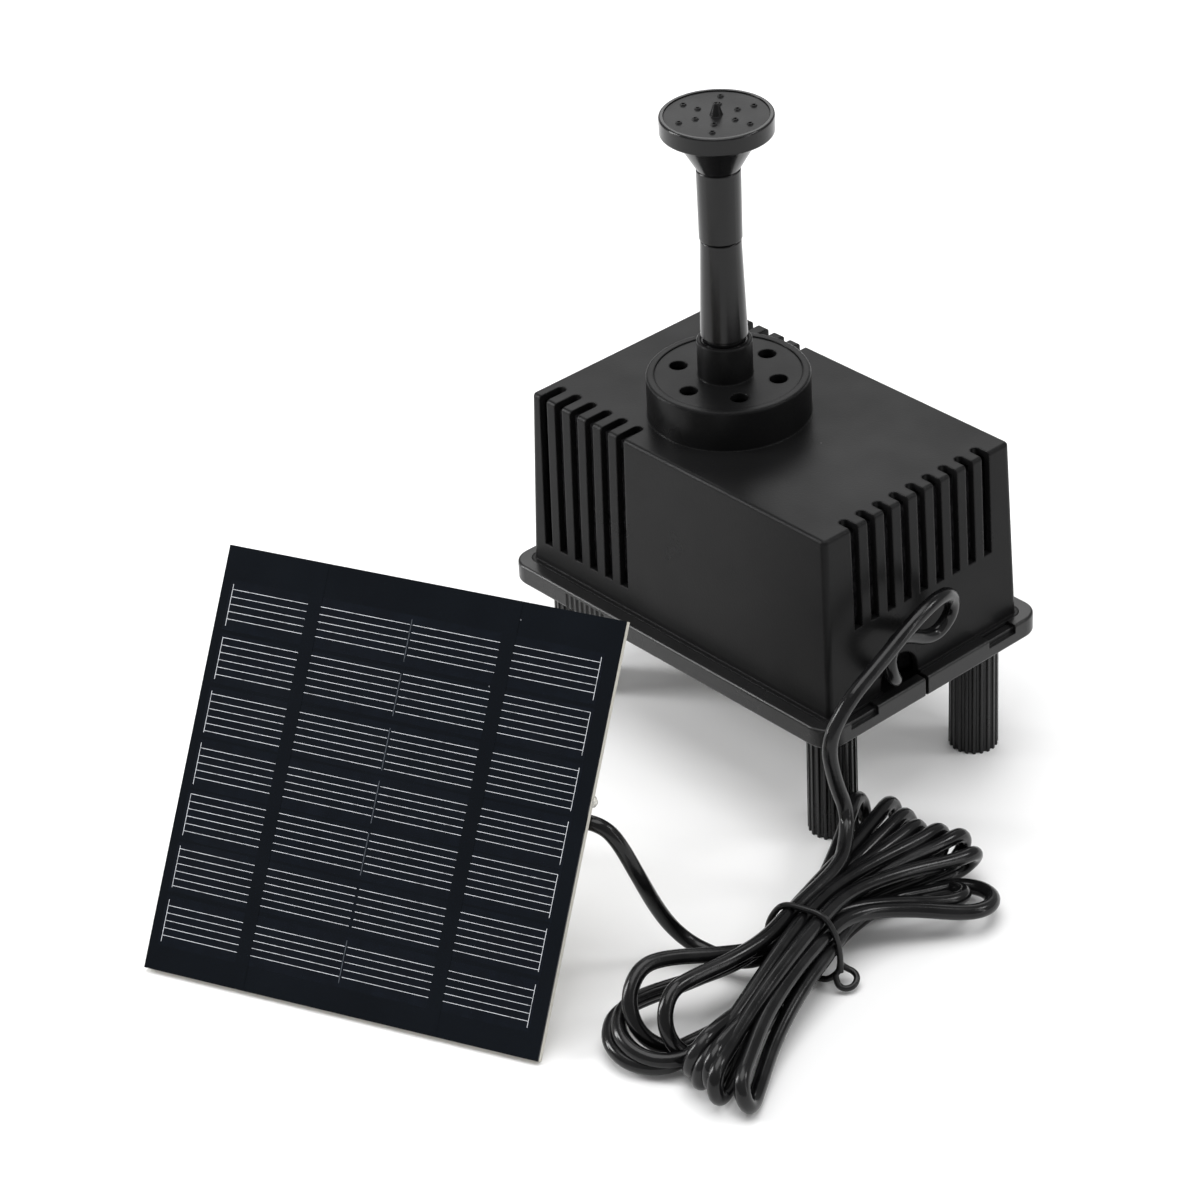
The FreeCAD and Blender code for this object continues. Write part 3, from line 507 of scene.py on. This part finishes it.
def magnet_grey():
    surface = Surface("magnet", (0.06, 0.06, 0.065), 0.4, metallic=0.6)
    surface.mottle(0.0008, 5.0, 0.4, 0.7, (0.1, 0.1, 0.108))
    surface.bump(surface.noise(0.0004, 3.0), 0.00004)
    return surface.done()


BY_SLOT = {
    "box_plastic": moulded("box_plastic", (0.006, 0.006, 0.0062), 0.32, 0.1, edges=0.0007),
    "riser_plastic": moulded(
        "riser_plastic", (0.0045, 0.0045, 0.0047), 0.2, 0.3, grain_depth=0.000008, edges=0.0003),
    "filter_foam": foam_material(),
    "pump_plastic": moulded("pump_plastic", (0.012, 0.012, 0.0126), 0.42, 0.25),
    "impeller_plastic": moulded("impeller_plastic", (0.5, 0.51, 0.52), 0.36, 0.5, dusty=0),
    "magnet": magnet_grey(),
    "core_steel": metal("core_steel", (0.33, 0.33, 0.34), 0.4, (6.0, 0.4, 0.4)),
    "coil_copper": winding(),
    "circuit_board": circuit_board(),
    "ceramic": ceramic(),
    "soft_rubber": rubber("soft_rubber", (0.014, 0.014, 0.014)),
    "panel_board": fibre_board(),
    "panel_face": glazed("panel_face", (0.0009, 0.0021, 0.0042), (0.0015, 0.0031, 0.0058), 0.22, 0.03),
    "solar_cell": glazed("solar_cell", (0.0012, 0.0026, 0.0054), (0.0022, 0.0042, 0.0082), 0.26, 0.004),
    "glue": hot_glue(),
    "prop_plastic": moulded("prop_plastic", (0.008, 0.008, 0.0084), 0.42, 0.25),
    "pin_steel": metal("pin_steel", (0.56, 0.56, 0.57), 0.28, (0.3, 4.0, 4.0)),
    "cable_sheath": cable_sheath(),
    "tie_sheath": rubber("tie_sheath", (0.005, 0.005, 0.0053), 0.3),
}

# finishes of single nodes that differ a little from the rest of their slot
TRAY_PLASTIC = moulded("tray_plastic", (0.006, 0.006, 0.0062), 0.3, 0.34)
BY_NODE = {"base_tray": TRAY_PLASTIC, "spray_cap": moulded("cap_plastic", (0.006, 0.006, 0.0062), 0.36, 0.17)}
BY_NODE.update((name, TRAY_PLASTIC) for name in NODES if name.startswith("foot_"))


def paint_frame():
    """Every carried-over node gets the material of its slot, or its own finish of it."""
    for subpart in frame["record"]["subparts"]:
        mesh = NODES[subpart["node"]].data
        mesh.materials.clear()
        mesh.materials.append(BY_NODE.get(subpart["node"], BY_SLOT[subpart["material_slot"]]))


# ---------------------------------------------------------------- pieces made here
def new_piece(name, mesh, slot, body):
    piece = bpy.data.objects.new(name, mesh)
    bpy.context.scene.collection.objects.link(piece)
    mesh.materials.clear()
    mesh.materials.append(BY_SLOT[slot])
    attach(piece, body)
    return piece


def slabs(name, boxes):
    """Mesh of thin boxes drawn on the panel, each (left, right, bottom, top, low, high)."""
    made = bmesh.new()
    for u0, u1, v0, v1, w0, w1 in boxes:
        corners = [made.verts.new(PANEL @ Vector(p)) for p in (
            (u0, v0, w0), (u1, v0, w0), (u1, v1, w0), (u0, v1, w0),
            (u0, v0, w1), (u1, v0, w1), (u1, v1, w1), (u0, v1, w1))]
        for quad in ((3, 2, 1, 0), (4, 5, 6, 7), (0, 1, 5, 4), (1, 2, 6, 5), (2, 3, 7, 6), (3, 0, 4, 7)):
            made.faces.new([corners[i] for i in quad])
    mesh = bpy.data.meshes.new(name)
    made.to_mesh(mesh)
    made.free()
    return mesh


# rows of cells: top of the bus from the panel's top edge, first finger below it, number of fingers
CELL_ROWS = [
    (0.0102, 0.0014, 5), (0.0247, 0.0, 6), (0.0392, 0.0008, 6), (0.0533, 0.0014, 5),
    (0.0672, 0.0, 6), (0.0813, 0.0008, 6), (0.0959, 0.0016, 5)]
BUS_LENGTH, FINGER_PITCH, LINE_WIDTH = 0.0113, 0.0020, 0.00014
LEFT_BUS, RIGHT_BUS = 0.0034, 0.1103
STRIP_PAST_BUS, STRIP_PAST_ENDS = 0.0009, 0.0011
RIBBONS = [(0.0259, 0.0298), (0.0819, 0.0860)]
RIBBON_INSET = 0.0004

# joint between the two cells of a row: its left edge, its width, and the gap in the fingers round it
JOINT_LEFT, JOINT_WIDTH = 0.0561, 0.00025
GAP_LEFT, GAP_RIGHT = JOINT_LEFT - 0.0002, JOINT_LEFT + 0.0007
ROW_WITH_NO_JOINT = 5

# top of each printed layer above the face
CELL_LAYER, INK_LAYER, JOINT_LAYER, RIBBON_LAYER = 0.00003, 0.00006, 0.00004, 0.00009
STRIP_DEPTH = 0.001


def panel_printing():
    """Raised layers on the face: cell strips, two tabbing ribbons, and the silver fingers and buses."""
    cell, ink, joint, ribbon = (
        FACE_HEIGHT + layer for layer in (CELL_LAYER, INK_LAYER, JOINT_LAYER, RIBBON_LAYER))
    finger_ends = (
        (LEFT_BUS, RIBBONS[0][0]), (RIBBONS[0][1], GAP_LEFT), (GAP_RIGHT, RIBBONS[1][0]),
        (RIBBONS[1][1], RIGHT_BUS))
    half = LINE_WIDTH / 2
    strips, lines, joints = [], [], []
    for row, (top, first, count) in enumerate(CELL_ROWS):
        high, low = PANEL_SIDE - top, PANEL_SIDE - top - BUS_LENGTH
        strips.append((LEFT_BUS - STRIP_PAST_BUS, RIGHT_BUS + STRIP_PAST_BUS,
                       low - STRIP_PAST_ENDS, high + STRIP_PAST_ENDS, FACE_HEIGHT - STRIP_DEPTH, cell))
        for bus in (LEFT_BUS, RIGHT_BUS):
            lines.append((bus - half, bus + half, low, high, FACE_HEIGHT, ink))
        for i in range(count):
            v = high - first - FINGER_PITCH * i
            lines += [(u0, u1, v - half, v + half, FACE_HEIGHT, ink) for u0, u1 in finger_ends]
        if row != ROW_WITH_NO_JOINT:
            joints.append((JOINT_LEFT, JOINT_LEFT + JOINT_WIDTH, low, high, FACE_HEIGHT, joint))
    bands = [(u0, u1, RIBBON_INSET, PANEL_SIDE - RIBBON_INSET, FACE_HEIGHT, ribbon) for u0, u1 in RIBBONS]
    new_piece("cell_strips", slabs("cell_strips", strips), "solar_cell", "root")
    new_piece("tab_ribbons", slabs("tab_ribbons", bands), "panel_face", "root")
    for name, boxes, ink_material in (
            ("panel_lines", lines, silver_ink("silver_ink", (0.78, 0.80, 0.84))),
            ("panel_joints", joints, silver_ink("faint_ink", (0.07, 0.08, 0.095)))):
        new_piece(name, slabs(name, boxes), "solar_cell", "root").data.materials[0] = ink_material


FOAM_VOXEL, FOAM_WELD = 0.0013, 0.00001
PORE_PITCH, PORE_DEPTH, PORE_WIDTH = 0.0034, 0.0013, 0.75


def foam_block(node):
    """Open-cell foam in the place of its plain block: a remeshed copy with pores sunk into it."""
    mesh = NODES[node].data.copy()
    source = bpy.data.objects.new(node + "_cells", mesh)
    bpy.context.scene.collection.objects.link(source)
    weld = source.modifiers.new("weld", "WELD")
    weld.merge_threshold = FOAM_WELD
    remesh = source.modifiers.new("remesh", "REMESH")
    remesh.mode, remesh.voxel_size = "VOXEL", FOAM_VOXEL
    evaluated = source.evaluated_get(bpy.context.evaluated_depsgraph_get())
    fine = bpy.data.meshes.new_from_object(evaluated)
    bpy.data.objects.remove(source)
    for vertex in fine.vertices:
        away = noise.voronoi(vertex.co / PORE_PITCH)[0][0]
        vertex.co -= vertex.normal * PORE_DEPTH * (1 - eased(min(1.0, away / PORE_WIDTH)))
    fine.shade_smooth()
    piece = new_piece(node + "_cells", fine, "filter_foam", "root")
    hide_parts(node)


GLUE_SIZE, GLUE_LUMPS = 0.86, 0.26
LUMP_SCALE, LUMP_OFFSET = 1.7, Vector((3.1, 0.4, 1.2))


def glue_lump():
    """Lumpy bead of hot glue where the cable leaves the panel."""
    low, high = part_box("glue_bead")
    made = bmesh.new()
    bmesh.ops.create_icosphere(made, subdivisions=5, radius=1.0)
    centre, half = (low + high) / 2, (high - low) / 2
    for vertex in made.verts:
        swell = GLUE_SIZE + GLUE_LUMPS * noise.noise(vertex.co * LUMP_SCALE + LUMP_OFFSET)
        vertex.co = centre + Vector(vertex.co[i] * half[i] * swell for i in range(3))
    mesh = bpy.data.meshes.new("glue_lump")
    made.to_mesh(mesh)
    made.free()
    mesh.shade_smooth()
    piece = new_piece("glue_lump", mesh, "glue", "root")
    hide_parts("glue_bead")


def lathe(name, profile, start, axis, segments=48):
    """Closed solid of revolution: profile is (distance along the axis, radius) from rim to rim."""
    turn_to = Vector(axis).to_track_quat("Z", "Y").to_matrix().to_4x4()
    place = Matrix.Translation(start) @ turn_to
    made = bmesh.new()
    rings = []
    for along, radius in profile:
        ring = []
        for i in range(segments):
            a = 2 * math.pi * i / segments
            ring.append(made.verts.new(place @ Vector((radius * math.cos(a), radius * math.sin(a), along))))
        rings.append(ring)
    for lower, upper in zip(rings, rings[1:] + rings[:1]):
        for i in range(segments):
            j = (i + 1) % segments
            made.faces.new((lower[i], lower[j], upper[j], upper[i]))
    bmesh.ops.recalc_face_normals(made, faces=made.faces)
    mesh = bpy.data.meshes.new(name)
    made.to_mesh(mesh)
    made.free()
    mesh.shade_smooth()
    return mesh


RIBS, RIB_HEIGHT = 6, 0.0006
GLAND_MOUTH, GLAND_LIP, BORE_PLAY = 0.0030, 0.0004, 0.00005


def ribbed_gland():
    """Tapered strain relief in the place of the plain gland; a rib takes half of its share of the length."""
    low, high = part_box("cable_gland")
    length = high.x - low.x
    start = Vector((low.x, (low.y + high.y) / 2, (low.z + high.z) / 2))
    outer, bore = (high.y - low.y) / 2, CABLE_DIAMETER / 2 + BORE_PLAY
    profile = [(0.0, bore), (0.0, outer)]
    for i in range(RIBS):
        radius = outer + (GLAND_MOUTH - outer) * (i + 0.5) / RIBS
        at = length * (i + 0.15) / RIBS
        rib = length * 0.5 / RIBS
        profile += [(at, radius - RIB_HEIGHT), (at + rib * 0.2, radius),
                    (at + rib, radius), (at + rib * 1.2, radius - RIB_HEIGHT)]
    profile += [(length, GLAND_MOUTH - GLAND_LIP), (length, bore)]
    piece = new_piece("ribbed_gland", lathe("ribbed_gland", profile, start, (1, 0, 0)), "soft_rubber", "root")
    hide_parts("cable_gland")


# ---------------------------------------------------------------- build
camera()
floor()
studio()
cable(BY_SLOT["cable_sheath"], BY_SLOT["tie_sheath"])
paint_frame()
panel_printing()
for foam_node in ("foam_left", "foam_right", "foam_front", "foam_back"):
    foam_block(foam_node)
glue_lump()
ribbed_gland()
